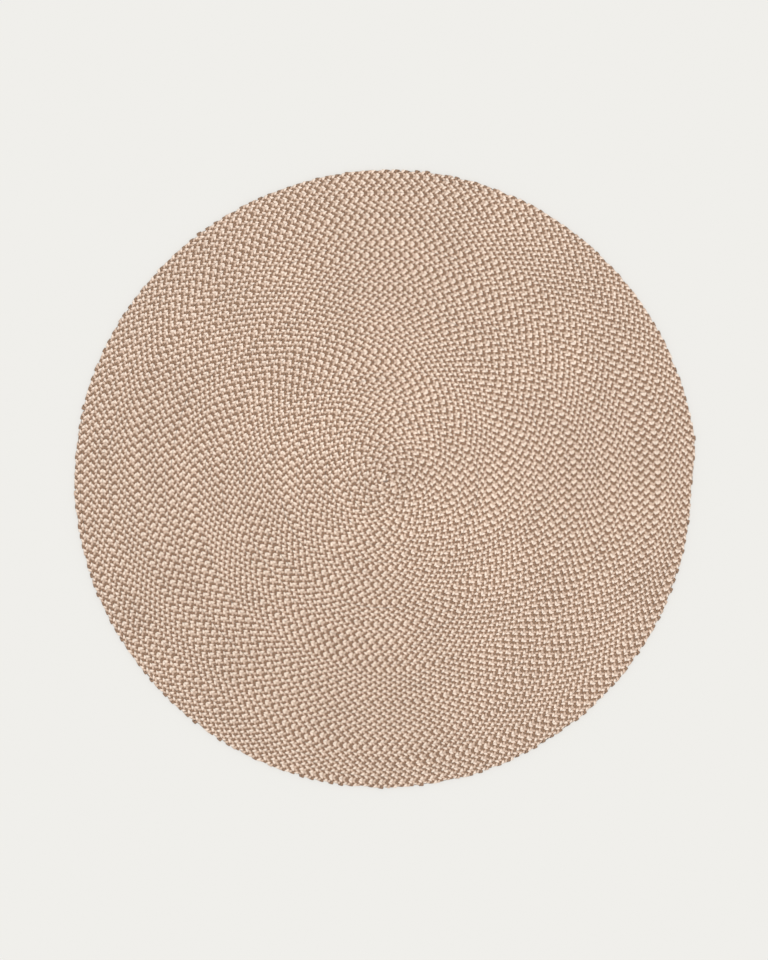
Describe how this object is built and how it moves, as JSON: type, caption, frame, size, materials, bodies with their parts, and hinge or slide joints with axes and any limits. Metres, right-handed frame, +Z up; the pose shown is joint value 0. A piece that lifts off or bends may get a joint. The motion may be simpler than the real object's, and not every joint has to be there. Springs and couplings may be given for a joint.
{
  "type": "round braided plastic rug",
  "caption": "Round flat floor rug of a plaited braid in brown, beige and cream, wound edge to edge into a spiral and sewn.",
  "frame": {"origin": "middle of the flat underside, on the floor", "axes": "+Z up out of the face, +X towards the rim where the braid's tail ends, +Y to its left seen from above"},
  "size_m": [1.5054, 1.4994, 0.009],
  "materials": {
    "braid": "matte",
    "brown_strand": "matte",
    "beige_strand": "matte",
    "cream_strand": "matte"
  },
  "bodies": {
    "root": {"braided_coil": "braid"}
  },
  "joints": []
}
